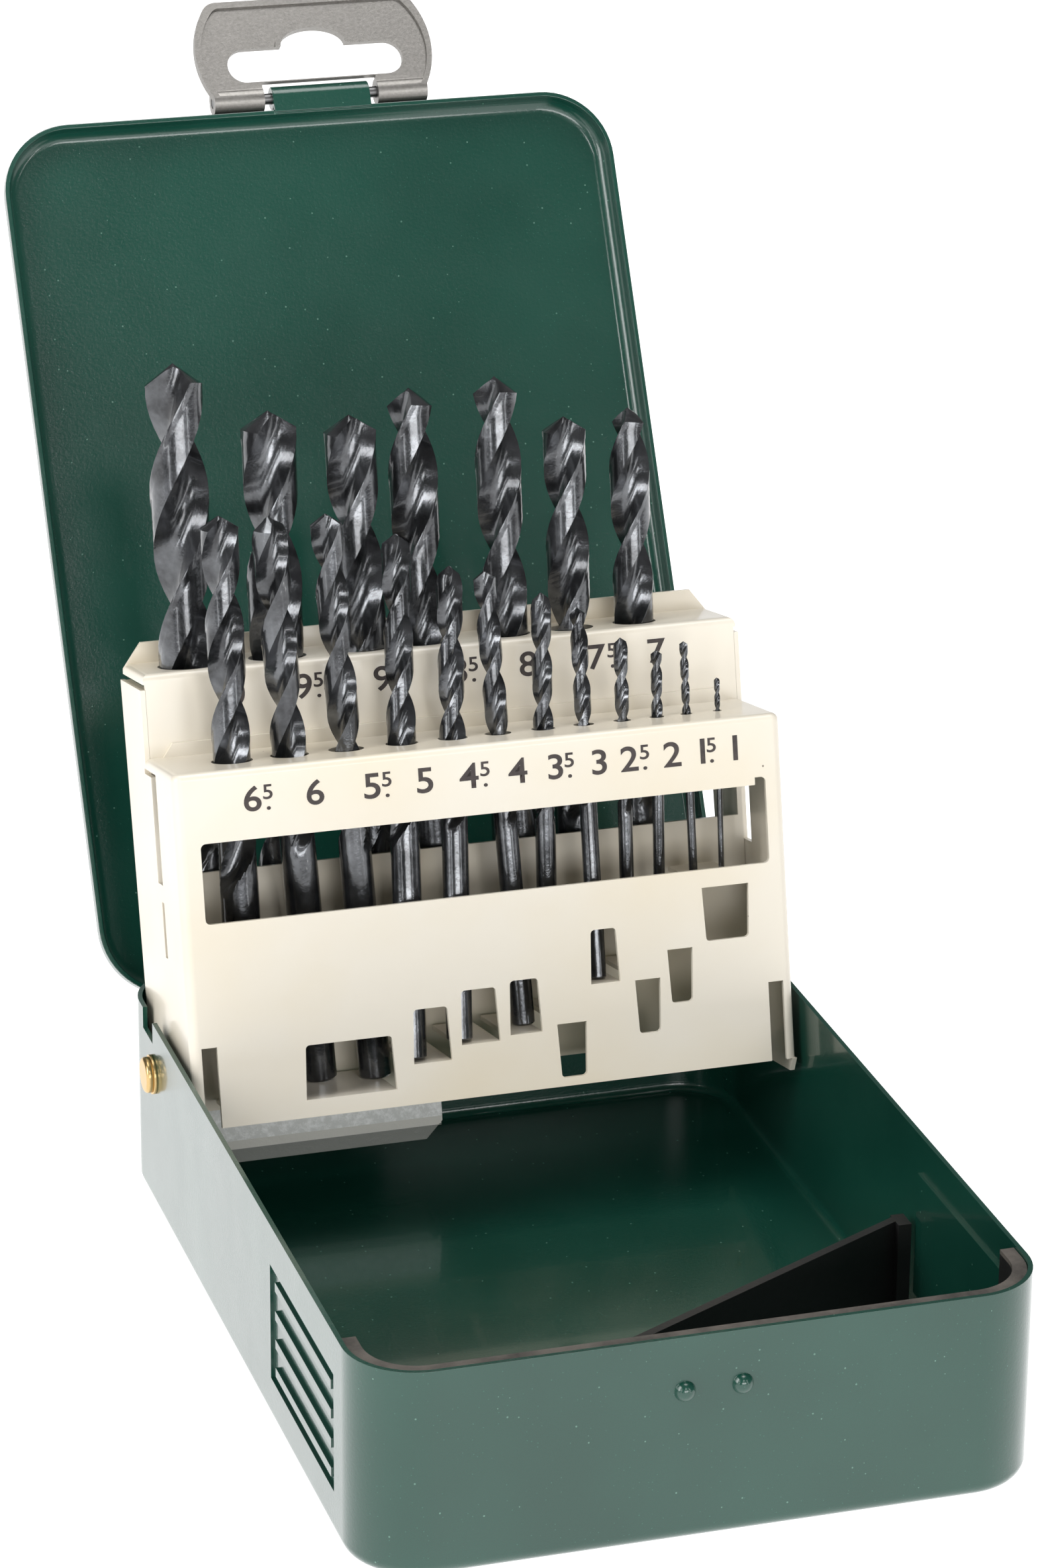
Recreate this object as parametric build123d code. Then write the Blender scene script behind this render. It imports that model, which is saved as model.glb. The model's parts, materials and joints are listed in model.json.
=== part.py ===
from build123d import *
import math
import os

# Drill bit case: a sheet-steel tray and lid on a rear hinge, a stepped rack of nineteen twist drill
# bits that folds down into the tray, and a hanger at the front of the lid that folds down as the latch.
# Units are millimetres. The origin is the centre of the tray's underside: +X right, +Y back, +Z up.
# The case is modelled open, with the rack standing.

# ---- Tray -------------------------------------------------------------------------------------------
CASE_WIDTH = 110.0
CASE_DEPTH = 154.0
TRAY_HEIGHT = 35.0
STEEL = 0.8                 # sheet thickness of tray and lid
TRAY_CORNER = 11.5          # outside radius of the upright corners
TRAY_FOOT = 2.4             # outside radius where walls meet the floor
NOTCH_FROM_REAR = 17.5      # middle of the notch in each side wall
NOTCH_LENGTH = 7.0
NOTCH_DEPTH = 3.8
GRIP_FRONT = 16.0           # from the front face to the grip panel
GRIP_LENGTH = 38.0
GRIP_LOW = 8.0
GRIP_HEIGHT = 20.0
GRIP_STEP = 0.6             # how far the grip panel is pressed in
GRIP_RIBS = 4
GRIP_RIB_WIDTH = 1.6
GRIP_GROOVE = 3.0           # upright band left plain at the rear of the panel
CATCH_SPACING = 9.2         # the two pressed bumps that hold the latch
CATCH_RADIUS = 1.7
CATCH_RISE = 1.5
CATCH_Z = 25.9

# ---- Lid --------------------------------------------------------------------------------------------
LID_OPEN = 118.8            # degrees from shut to open
LID_SIDE_GAP = 0.7
LID_END_GAP = 0.3
LID_OVERLAP = 2.5           # how far the shut lid reaches down over the tray
LID_DEPTH = 4.7
LID_BEND = 3.0
HINGE_Z = 28.5
KNUCKLE_RADIUS = 1.8
HINGE_PIN_RADIUS = 1.0
HINGE_CLEAR = 0.08
HINGE_KNUCKLES = 5
KNUCKLE_GAP = 0.3
HINGE_LENGTH = 84.0

# ---- Hanger, which is also the latch ----------------------------------------------------------------
LATCH_X = 3.2               # the hanger sits right of centre
HANGER_BACK = 10.0          # degrees it leans back from the lid's own plane
LATCH_Z = 34.2              # height of its pin when the lid is shut
LATCH_KNUCKLE_RADIUS = 2.1
LATCH_KNUCKLE_LENGTH = 18.0
LATCH_PIN_RADIUS = 1.0
BARREL_RADIUS = 2.3
LATCH_GAP = 0.2             # barrels to the lid's front face
BARREL_LENGTH = 9.2
BARREL_GAP = 1.6            # bare pin between knuckle and barrel
HANGER_HEIGHT = 18.5        # pin centre to top edge
HANGER_WIDE = 43.4
HANGER_WIDE_AT = 10.9       # height of the widest place above the pin
HANGER_TOP_WIDTH = 36.5
HANGER_THICK = 1.6
HANGER_WEB = 1.1            # thickness inside its raised border
HANGER_BORDER = 1.2
HANGER_CORNER = 3.0
HOLE_LOW = 2.7
HOLE_HIGH = 9.2
HOLE_WIDTH = 32.6
HOLE_HUMP_WIDTH = 12.0
HOLE_HUMP_RISE = 3.3
HOLE_COLLAR = 1.0           # raised rim round the hump

# ---- Front liner ------------------------------------------------------------------------------------
LINER_WALL = 2.3
LINER_BELOW_RIM = 0.5
LINER_ARM = 15.0            # how far its arms reach back from the front face
LINER_CLEAR = 0.1
FENCE_WALL = 1.5            # the slanted fence that keeps short bits in their holes
FENCE_TOP = 20.0
FENCE_LEFT_FROM_SIDE = 5.0
FENCE_LEFT_FROM_FRONT = 4.0
FENCE_RIGHT_FROM_FRONT = 57.5
FENCE_POST = 3.2

# ---- Rack: its own frame has v back from the front panel's face and w up from the panel's foot -------
RACK_LEAN = 12.7            # degrees behind upright
RACK_SHEET = 0.8
RACK_GAP = 1.2              # between a tray wall and the rack's flange
RACK_BEND = 1.6             # outside radius of its upright folds
SHELF_BEND = 1.2            # outside radius round the top of each shelf
PIVOT_FROM_REAR = 21.1
PIVOT_Z = 25.6
PIVOT_V = 21.7
PIVOT_W = 5.7
FRONT_SHELF_W = 60.0
FRONT_SHELF_DEPTH = 20.0
REAR_SHELF_W = 74.2
REAR_SHELF_DEPTH = 15.4
FRONT_LIP = 2.3             # height of the upstand along each shelf's rear edge
REAR_LIP = 3.5
LIP_SLANT = 0.75            # run of a lip's slanted end over its height
CAP_INSET = 0.5             # the rear shelf is this much narrower at each end
SHELF_TAB = 1.7
SHELF_TAB_GAP = 0.9
FLANGE_FOOT = -2.4
FLANGE_FOOT_DEPTH = 31.6
WINDOW_LOW = 34.5
WINDOW_HIGH = 48.1
WINDOW_LEFT_EDGE = 4.0      # sheet left at the ends of the long window
WINDOW_RIGHT_EDGE = 3.2
WINDOW_SLOT = 1.9
WINDOW_SLOT_RISE = 1.3
WINDOW_CORNER = 0.9
BACK_WINDOW_LOW = 39.6
BACK_WINDOW_HIGH = 58.5
BACK_WINDOW_EDGE = 0.9
CORNER_SLOT_WIDTH = 2.7
CORNER_SLOT_EDGE = 1.8      # from the side face to the slot
CORNER_SLOT_HEIGHT = 13.8
FRONT_ROW_V = 9.2
REAR_ROW_V = 26.6
DEEP_FLOOR_W = -8.2
DEEP_FLOOR_LEFT_EDGE = 2.5
DEEP_FLOOR_RIGHT = -5.2
DEEP_LIP = 2.0
DEEP_LIP_CHAMFER = 3.0
SHALLOW_FLOOR_W = 1.5
FLOOR_REACH = 30.5
REST_TAB_REACH = 18.3
REST_WINDOW_HEIGHT = 9.3
REST_WINDOW_FLARE = 0.4     # each side widens by this towards the tab
REST_WINDOW_CORNER = 0.7
FOOT_TAB_W = 1.0
FOOT_TAB_WIDTH = 8.0
HOLE_CLEAR = 0.5
SEAM_V = 12.8               # front edge of the slots in the left flange
# Slots in the side flanges: (v front, v rear, w low, w high)
LEFT_SLOTS = ((SEAM_V, 14.4, 27.0, 36.5), (SEAM_V, 16.2, 39.5, 58.0))
RIGHT_SLOTS = ((16.1, 20.5, 35.3, 58.0),)
TABLE_HALF_WIDTH = 53.0     # half width of the rack that the tables' x values are for

# ---- Rivets that the rack turns on -------------------------------------------------------------------
RIVET_RADIUS = 1.5
RIVET_HEAD_RADIUS = 3.1
RIVET_HEAD = 1.2
RIVET_TAIL_RADIUS = 2.0
RIVET_TAIL = 0.7
TAIL_CLEAR = 0.2            # round the rivet's tail where the riser passes it
WASHER_RADIUS = 3.4
WASHER_THICK = 0.6
SPACER_RADIUS = 3.4
PIVOT_CLEAR = 0.08

# ---- Bits --------------------------------------------------------------------------------------------
# Front row: (diameter, x at its foot, v at its foot, x at its hole, length, fluted length)
FRONT_BITS = (
    (6.5, -41.2, 9.2, -40.6, 100.1, 63.0),
    (6.0, -27.8, 14.6, -30.7, 97.9, 57.0),
    (5.5, -18.7, 11.8, -20.9, 97.1, 57.0),
    (5.0, -14.2, 3.7, -11.2, 88.4, 52.0),
    (4.5, -5.9, 3.2, -2.3, 80.0, 44.0),
    (4.0, 6.8, 7.8, 5.7, 77.8, 43.0),
    (3.5, 12.0, 9.4, 13.7, 71.6, 39.0),
    (3.0, 19.3, 4.0, 20.9, 63.0, 33.0),
    (2.5, 26.7, 9.3, 27.8, 56.6, 30.0),
    (2.0, 32.5, 9.3, 34.0, 49.3, 24.0),
    (1.5, 39.1, 9.3, 39.3, 40.3, 18.0),
    (1.0, 44.2, 9.3, 44.9, 33.5, 12.0),
)
# Rear row: (diameter, x at its foot, x at its hole, length, fluted length)
REAR_BITS = (
    (10.0, -44.2, -43.0, 133.5, 87.0),
    (9.5, -29.6, -27.5, 124.2, 81.0),
    (9.0, -12.8, -12.5, 122.4, 81.0),
    (8.5, -2.4, -1.9, 116.4, 75.0),
    (8.0, 12.2, 13.1, 117.1, 75.0),
    (7.5, 23.0, 24.7, 109.2, 69.0),
    (7.0, 34.6, 36.3, 109.8, 69.0),
)
HELIX_ANGLE = 30.0
POINT_ANGLE = 118.0
WEB_SHARE = 0.2             # core thickness of a bit over its diameter
FLUTE_SHARE = 0.36          # radius of a flute over the bit's diameter
# Rest windows in the front panel: (x left, x right, lower edge, tab at the upper edge)
REST_WINDOWS = (
    (-33.4, -18.5, 3.0, False),
    (-14.5, -8.6, 6.9, False),
    (-6.0, 0.0, 9.2, False),
    (2.6, 7.5, 9.9, False),
    (10.9, 15.3, 1.5, True),
    (17.3, 21.7, 17.0, False),
    (25.1, 28.8, 7.5, True),
    (31.1, 34.8, 12.1, True),
    (37.8, 45.4, 22.1, True),
)

# ---- Worked out ----------------------------------------------------------------------------------------
HALF_WIDTH = CASE_WIDTH / 2
HALF_DEPTH = CASE_DEPTH / 2
INNER_HALF_WIDTH = HALF_WIDTH - STEEL
RIM_Z = TRAY_HEIGHT - LID_OVERLAP
LID_WIDTH = CASE_WIDTH + 2 * (LID_SIDE_GAP + STEEL)
LID_LENGTH = CASE_DEPTH + 2 * (LID_END_GAP + STEEL)
LID_CORNER = TRAY_CORNER + LID_END_GAP + STEEL
HINGE_Y = HALF_DEPTH + LID_END_GAP + KNUCKLE_RADIUS
LATCH_Y = -LID_LENGTH / 2 - LATCH_GAP - BARREL_RADIUS
RACK_HALF = INNER_HALF_WIDTH - RACK_GAP
RACK_SPREAD = RACK_HALF / TABLE_HALF_WIDTH
RACK_DEPTH = FRONT_SHELF_DEPTH + REAR_SHELF_DEPTH
WINDOW_LEFT = WINDOW_LEFT_EDGE - RACK_HALF
WINDOW_RIGHT = RACK_HALF - WINDOW_RIGHT_EDGE
DEEP_LEFT = DEEP_FLOOR_LEFT_EDGE - RACK_HALF
DEEP_RIGHT = DEEP_FLOOR_RIGHT * RACK_SPREAD
PIVOT_Y = HALF_DEPTH - PIVOT_FROM_REAR
BORE = HINGE_PIN_RADIUS + HINGE_CLEAR
LATCH_BORE = LATCH_PIN_RADIUS + HINGE_CLEAR
BARREL_IN = LATCH_KNUCKLE_LENGTH / 2 + BARREL_GAP
BARREL_OUT = BARREL_IN + BARREL_LENGTH

LID_SWING = Pos(0, HINGE_Y, HINGE_Z) * Rot(-LID_OPEN, 0, 0) * Pos(0, -HINGE_Y, -HINGE_Z)
RACK_FRAME = Pos(0, PIVOT_Y, PIVOT_Z) * Rot(-RACK_LEAN, 0, 0) * Pos(0, -PIVOT_V, -PIVOT_W)


def slab(x, y, z):
    """A box from its (low, high) spans along X, Y and Z."""
    size = [b - a for a, b in (x, y, z)]
    middle = [(a + b) / 2 for a, b in (x, y, z)]
    return Pos(*middle) * Box(*size)


def rod(x, y, z, radius):
    """A round bar along X over the span x, with its axis at y and z."""
    return Pos((x[0] + x[1]) / 2, y, z) * Rot(0, 90, 0) * Cylinder(radius, x[1] - x[0])


def pan(width, depth, corner, low, high):
    """An upright block with rounded corners between two heights."""
    return Pos(0, 0, low) * extrude(RectangleRounded(width, depth, corner), high - low)


def edges_at(shape, height):
    return shape.edges().filter_by(lambda e: abs(e.bounding_box().min.Z - height) < 1e-4
                                   and abs(e.bounding_box().max.Z - height) < 1e-4)


def shell_of(width, depth, corner, low, high, bend, open_top):
    """A pan of sheet steel: closed at the bottom, or at the top for a lid."""
    closed_at = low if open_top else high
    block = pan(width, depth, corner, low, high)
    block = fillet(edges_at(block, closed_at), bend)
    if open_top:
        hollow = pan(width - 2 * STEEL, depth - 2 * STEEL, corner - STEEL, low + STEEL, high + 1)
        hollow = fillet(edges_at(hollow, low + STEEL), bend - STEEL)
    else:
        hollow = pan(width - 2 * STEEL, depth - 2 * STEEL, corner - STEEL, low - 1, high - STEEL)
        hollow = fillet(edges_at(hollow, high - STEEL), bend - STEEL)
    return block - hollow


def bump(x, inner):
    """One catch bump on the front face; inner gives the hollow behind it."""
    rise = CATCH_RISE
    ball = (CATCH_RADIUS ** 2 + rise ** 2) / (2 * rise)
    centre_y = -HALF_DEPTH - rise + ball
    if inner:
        return Pos(x, centre_y, CATCH_Z) * Sphere(ball - STEEL)
    whole = Pos(x, centre_y, CATCH_Z) * Sphere(ball)
    reach = 2 * ball
    return whole & slab((x - reach, x + reach), (-HALF_DEPTH - reach, -HALF_DEPTH + STEEL / 2),
                        (CATCH_Z - reach, CATCH_Z + reach))


def grip_panel(side):
    """What a side wall gains inside and loses outside where its ribbed panel is pressed in."""
    front = -HALF_DEPTH + GRIP_FRONT
    y = (front, front + GRIP_LENGTH)
    z = (GRIP_LOW, GRIP_LOW + GRIP_HEIGHT)
    outer, wall_in = side * HALF_WIDTH, side * INNER_HALF_WIDTH
    pressed = slab(sorted((outer + side, outer - side * GRIP_STEP)), y, z)
    backing = slab(sorted((wall_in + side * STEEL / 2, wall_in - side * GRIP_STEP)),
                   (y[0] - STEEL, y[1] + STEEL), (z[0] - STEEL, z[1] + STEEL))
    pitch = GRIP_HEIGHT / GRIP_RIBS
    ribs = []
    for n in range(GRIP_RIBS):
        middle = z[0] + pitch * (n + 0.5)
        span = (middle - GRIP_RIB_WIDTH / 2, middle + GRIP_RIB_WIDTH / 2)
        ribs.append(slab(sorted((outer, outer - side * (GRIP_STEP + STEEL / 4))),
                         (y[0] + GRIP_RIB_WIDTH, y[1] - GRIP_GROOVE), span))
    return backing, pressed, ribs


def hinge_spans():
    """X spans of the hinge knuckles, left to right; the even ones belong to the tray."""
    pitch = HINGE_LENGTH / HINGE_KNUCKLES
    start = -HINGE_LENGTH / 2
    return [(start + n * pitch + KNUCKLE_GAP / 2, start + (n + 1) * pitch - KNUCKLE_GAP / 2)
            for n in range(HINGE_KNUCKLES)]


def tray():
    body = shell_of(CASE_WIDTH, CASE_DEPTH, TRAY_CORNER, 0, TRAY_HEIGHT, TRAY_FOOT, True)
    for side in (-1, 1):
        backing, pressed, ribs = grip_panel(side)
        body = body + backing - pressed
        for rib in ribs:
            body = body + rib
        notch_y = HALF_DEPTH - NOTCH_FROM_REAR
        wall = sorted((side * (HALF_WIDTH + 1), side * (INNER_HALF_WIDTH - 1)))
        body -= slab(wall, (notch_y - NOTCH_LENGTH / 2, notch_y + NOTCH_LENGTH / 2),
                     (TRAY_HEIGHT - NOTCH_DEPTH, TRAY_HEIGHT + 1))
        body -= rod(wall, PIVOT_Y, PIVOT_Z, RIVET_RADIUS)
    for x in (-CATCH_SPACING / 2, CATCH_SPACING / 2):
        body = body + bump(x, False) - bump(x, True)
    for span in hinge_spans()[::2]:
        web = slab(span, (HALF_DEPTH - STEEL / 2, HINGE_Y),
                   (HINGE_Z - KNUCKLE_RADIUS, HINGE_Z - KNUCKLE_RADIUS + STEEL))
        knuckle = rod(span, HINGE_Y, HINGE_Z, KNUCKLE_RADIUS)
        body = body + (web + knuckle - rod(span, HINGE_Y, HINGE_Z, HINGE_PIN_RADIUS))
    return body


def lid():
    """The lid, swung open from its shut place."""
    shut = shell_of(LID_WIDTH, LID_LENGTH, LID_CORNER, RIM_Z, RIM_Z + LID_DEPTH, LID_BEND, False)
    leaf_y = (HALF_DEPTH + LID_END_GAP, LID_LENGTH / 2)
    for span in hinge_spans()[1::2]:
        leaf = slab(span, leaf_y, (HINGE_Z, RIM_Z + STEEL))
        knuckle = rod(span, HINGE_Y, HINGE_Z, KNUCKLE_RADIUS)
        shut = shut + (leaf + knuckle - rod(span, HINGE_Y, HINGE_Z, BORE))
    span = (LATCH_X - LATCH_KNUCKLE_LENGTH / 2, LATCH_X + LATCH_KNUCKLE_LENGTH / 2)
    web = slab(span, (LATCH_Y, -LID_LENGTH / 2 + STEEL / 2),
               (LATCH_Z - LATCH_KNUCKLE_RADIUS, LATCH_Z - LATCH_KNUCKLE_RADIUS + STEEL))
    knuckle = rod(span, LATCH_Y, LATCH_Z, LATCH_KNUCKLE_RADIUS)
    shut = shut + (web + knuckle - rod(span, LATCH_Y, LATCH_Z, LATCH_PIN_RADIUS))
    return LID_SWING * shut


def hinge_pin():
    half = HINGE_LENGTH / 2
    return rod((-half, half), HINGE_Y, HINGE_Z, HINGE_PIN_RADIUS)


def latch_pin():
    half = BARREL_OUT - HINGE_CLEAR
    return LID_SWING * rod((LATCH_X - half, LATCH_X + half), LATCH_Y, LATCH_Z, LATCH_PIN_RADIUS)


def hanger_outline(inset):
    """The hanger's face, drawn with x across and y up from its pin."""
    top, wide, foot = HANGER_TOP_WIDTH / 2 - inset, HANGER_WIDE / 2 - inset, BARREL_OUT - inset
    high = HANGER_HEIGHT - inset
    right = ThreePointArc((top, high), (wide, HANGER_WIDE_AT), (foot, 0))
    left = ThreePointArc((-foot, 0), (-wide, HANGER_WIDE_AT), (-top, high))
    face = make_face(Line((-top, high), (top, high)) + right + Line((foot, 0), (-foot, 0)) + left)
    return fillet(face.vertices().sort_by(Axis.Y)[-2:], HANGER_CORNER - inset)


def hanger_hump(grow):
    return Pos(0, HOLE_HIGH) * Ellipse(HOLE_HUMP_WIDTH / 2 + grow, HOLE_HUMP_RISE + grow)


def hanger_hole():
    """The hanging hole: a long slot with a hump in the middle of its upper edge."""
    slot = Pos(0, (HOLE_LOW + HOLE_HIGH) / 2) * SlotOverall(HOLE_WIDTH, HOLE_HIGH - HOLE_LOW)
    return slot + hanger_hump(0)


def hanger():
    """The plate points forward from its pin, leaning back a little, when the lid is shut."""
    low = LATCH_Z - BARREL_RADIUS
    plate = extrude(hanger_outline(0), HANGER_THICK)
    field = extrude(hanger_outline(HANGER_BORDER) - hanger_hump(HOLE_COLLAR), HANGER_THICK - HANGER_WEB)
    plate = plate - field - extrude(hanger_hole(), HANGER_THICK)
    body = Pos(0, LATCH_Y, low) * Rot(0, 0, 180) * plate
    for side in (-1, 1):
        x = sorted((side * BARREL_IN, side * BARREL_OUT))
        body += rod(x, LATCH_Y, LATCH_Z, BARREL_RADIUS)
        body -= rod(x, LATCH_Y, LATCH_Z, LATCH_BORE)
    room = LATCH_KNUCKLE_RADIUS + BARREL_GAP / 4
    body -= rod((-BARREL_IN, BARREL_IN), LATCH_Y, LATCH_Z, room)
    body -= slab((-BARREL_IN, BARREL_IN), (LATCH_Y - room, LATCH_Y + room), (low - 1, LATCH_Z))
    lean = Pos(LATCH_X, LATCH_Y, LATCH_Z) * Rot(-HANGER_BACK, 0, 0) * Pos(0, -LATCH_Y, -LATCH_Z)
    return LID_SWING * lean * body


def front_liner():
    """A moulded strip round the tray's front, with the slanted fence for the short bits."""
    low, high = TRAY_FOOT, TRAY_HEIGHT - LINER_BELOW_RIM
    slack = STEEL + LINER_CLEAR
    outside = pan(CASE_WIDTH - 2 * slack, CASE_DEPTH - 2 * slack, TRAY_CORNER - slack, low, high)
    wall = slack + LINER_WALL
    inside = pan(CASE_WIDTH - 2 * wall, CASE_DEPTH - 2 * wall, TRAY_CORNER - wall, low - 1, high + 1)
    front = -HALF_DEPTH
    keep = slab((-HALF_WIDTH, HALF_WIDTH), (front, front + LINER_ARM), (low, high))
    strip = (outside - inside) & keep
    start = (FENCE_LEFT_FROM_SIDE - HALF_WIDTH, front + FENCE_LEFT_FROM_FRONT)
    end = (HALF_WIDTH - slack - GRIP_STEP - FENCE_WALL, front + FENCE_RIGHT_FROM_FRONT)
    run = math.hypot(end[0] - start[0], end[1] - start[1])
    turn = math.degrees(math.atan2(end[1] - start[1], end[0] - start[0]))
    fence = slab((0, run), (-FENCE_WALL / 2, FENCE_WALL / 2), (low, FENCE_TOP))
    fence = Pos(*start, 0) * Rot(0, 0, turn) * fence
    post_x = (end[0] - FENCE_WALL, end[0] + FENCE_WALL / 2)
    post = slab(post_x, (end[1] - FENCE_POST, end[1] + FENCE_WALL / 2), (low, FENCE_TOP))
    return strip + fence + post


def rest_tab(x, w):
    return slab(x, (RACK_SHEET / 2, REST_TAB_REACH), w)


def upright_plate(points, v, thick):
    """A flat plate facing front, with its outline in x and w, from depth v back."""
    face = make_face(Polyline(*points, close=True))
    return Pos(0, v + thick, 0) * Rot(90, 0, 0) * extrude(face, thick)


def flange_plate(x, points):
    """A flat plate across the span x with its outline in v and w."""
    face = make_face(Polyline(*points, close=True))
    return Pos(x[0], 0, 0) * Plane.YZ.location * extrude(face, x[1] - x[0])


def shelf_lip(half, v, low, height):
    """The upstand along a shelf's rear edge, with slanted ends."""
    run = height * LIP_SLANT
    points = [(-half, low), (half, low), (half - run, low + height), (run - half, low + height)]
    return upright_plate(points, v - RACK_SHEET, RACK_SHEET)


def bit_hole(size, x, v, shelf):
    """A hole through a shelf whose upper face is at the given height."""
    hole = Cylinder((size + HOLE_CLEAR) / 2, 3 * RACK_SHEET)
    return Pos(x * RACK_SPREAD, v, shelf - RACK_SHEET / 2) * hole


def side_span(side, outer, inner):
    return sorted((side * outer, side * inner))


def rest_window(left, right, low, tab_high):
    """One rest window: wider at the edge its tab is folded from, rounded at the other."""
    flare = REST_WINDOW_FLARE
    high = low + REST_WINDOW_HEIGHT
    wide, plain = (high, low) if tab_high else (low, high)
    points = [(left - flare, wide), (right + flare, wide), (right, plain), (left, plain)]
    cut = upright_plate(points, -1, RACK_SHEET + 2)
    upright_edges = cut.edges().filter_by(Axis.Y).sort_by(Axis.Z)
    rounded = upright_edges[:2] if tab_high else upright_edges[-2:]
    return fillet(rounded, REST_WINDOW_CORNER)


def front_rack_flanges():
    """Side flanges of the front sheet, which reach back over both steps."""
    front_top = FRONT_SHELF_W - SHELF_TAB - SHELF_TAB_GAP
    rear_top = REAR_SHELF_W - SHELF_TAB - SHELF_TAB_GAP
    step = FRONT_SHELF_DEPTH
    points = [(RACK_BEND, FLANGE_FOOT), (0, 0), (0, front_top), (step, front_top), (step, rear_top),
              (RACK_DEPTH, rear_top), (FLANGE_FOOT_DEPTH, FLANGE_FOOT)]
    return [flange_plate(side_span(s, RACK_HALF, RACK_HALF - RACK_SHEET), points) for s in (-1, 1)]


def long_window():
    """The window across the front panel, with a slot at its right end."""
    panel = (-1, RACK_SHEET + 1)
    window = slab((WINDOW_LEFT, WINDOW_RIGHT), panel, (WINDOW_LOW, WINDOW_HIGH))
    slot = slab((WINDOW_RIGHT - WINDOW_SLOT, WINDOW_RIGHT), panel,
                (WINDOW_LOW, WINDOW_HIGH + WINDOW_SLOT_RISE))
    cut = window + slot
    upright_edges = cut.edges().filter_by(Axis.Y)
    ends = upright_edges.group_by(Axis.X)
    return fillet(ends[0] + ends[-1], WINDOW_CORNER)


def side_cuts(side):
    """Corner slot, shelf gap, seam slots and pivot hole at one side of the front sheet."""
    edge = RACK_HALF - CORNER_SLOT_EDGE
    across = side_span(side, RACK_HALF + 1, RACK_HALF - RACK_SHEET)
    gap_top = FRONT_SHELF_W - SHELF_TAB
    cuts = [slab(side_span(side, edge, edge - CORNER_SLOT_WIDTH), (-1, RACK_BEND),
                 (FLANGE_FOOT - 1, CORNER_SLOT_HEIGHT)),
            slab(across, (SEAM_V, FRONT_SHELF_DEPTH + 1), (gap_top - SHELF_TAB_GAP, gap_top)),
            rod(across, PIVOT_V, PIVOT_W, RIVET_RADIUS + PIVOT_CLEAR)]
    for front, rear, low, high in LEFT_SLOTS if side < 0 else RIGHT_SLOTS:
        cuts.append(slab(across, (front, rear), (low, high)))
    return cuts


def rest_tabs():
    """The ledges folded back from the front panel that the front row's feet stand on."""
    tabs = []
    for left, right, low, tab_high in REST_WINDOWS:
        high = low + REST_WINDOW_HEIGHT
        w = (high, high + RACK_SHEET) if tab_high else (low - RACK_SHEET, low)
        flare = REST_WINDOW_FLARE
        tabs.append(rest_tab((left * RACK_SPREAD - flare, right * RACK_SPREAD + flare), w))
    x = FRONT_BITS[0][1] * RACK_SPREAD
    foot = (x - FOOT_TAB_WIDTH / 2, x + FOOT_TAB_WIDTH / 2)
    tabs.append(rest_tab(foot, (FOOT_TAB_W - RACK_SHEET, FOOT_TAB_W)))
    return tabs


def front_rack():
    """Front panel, front shelf and both side flanges, folded from one sheet."""
    block = slab((-RACK_HALF, RACK_HALF), (0, FRONT_SHELF_DEPTH), (0, FRONT_SHELF_W))
    block = fillet(block.edges().filter_by(Axis.Z).group_by(Axis.Y)[0], RACK_BEND)
    block = fillet(block.edges().group_by(Axis.Z)[-1].sort_by(Axis.Y)[:-1], SHELF_BEND)
    inner = RACK_HALF - RACK_SHEET
    hollow = slab((-inner, inner), (RACK_SHEET, FRONT_SHELF_DEPTH + 1), (-1, FRONT_SHELF_W - RACK_SHEET))
    sheet = block - hollow
    lip_foot = FRONT_SHELF_W - RACK_SHEET
    sheet += shelf_lip(inner - RACK_BEND, FRONT_SHELF_DEPTH, lip_foot, FRONT_LIP + RACK_SHEET)
    for flange in front_rack_flanges():
        sheet += flange - slab((-RACK_HALF - 1, RACK_HALF + 1), (-1, RACK_BEND), (0, FRONT_SHELF_W))
    cuts = [long_window()] + side_cuts(-1) + side_cuts(1)
    for left, right, low, tab_high in REST_WINDOWS:
        cuts.append(rest_window(left * RACK_SPREAD, right * RACK_SPREAD, low, tab_high))
    for size, _, _, x, _, _ in FRONT_BITS:
        cuts.append(bit_hole(size, x, FRONT_ROW_V, FRONT_SHELF_W))
    for cut in cuts:
        sheet -= cut
    for tab in rest_tabs():
        sheet += tab
    return RACK_FRAME * sheet


def riser(half):
    """The upright sheet between the shelves, with the back window in it."""
    front, foot = FRONT_SHELF_DEPTH, SHALLOW_FLOOR_W - RACK_SHEET
    sheet = slab((-half, half), (front, front + RACK_SHEET), (foot, REAR_SHELF_W - SHELF_BEND))
    window = (BACK_WINDOW_EDGE - half, half - BACK_WINDOW_EDGE)
    return sheet - slab(window, (front - 1, front + 2), (BACK_WINDOW_LOW, BACK_WINDOW_HIGH))


def rear_shelf():
    """The rear shelf, with its folded rims and the upstand along its rear edge."""
    front, back = FRONT_SHELF_DEPTH, RACK_DEPTH
    half = RACK_HALF - CAP_INSET
    cap = slab((-half, half), (front, back), (REAR_SHELF_W - SHELF_TAB, REAR_SHELF_W))
    cap = fillet(cap.edges().group_by(Axis.Z)[-1].sort_by(Axis.Y)[:-1], SHELF_BEND)
    inner = half - RACK_SHEET
    cap -= slab((-inner, inner), (front + RACK_SHEET, back + 1), (0, REAR_SHELF_W - RACK_SHEET))
    cap += shelf_lip(half, back, REAR_SHELF_W - RACK_SHEET, REAR_LIP + RACK_SHEET)
    for size, _, x, _, _ in REAR_BITS:
        cap -= bit_hole(size, x, REAR_ROW_V, REAR_SHELF_W)
    return cap


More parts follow.
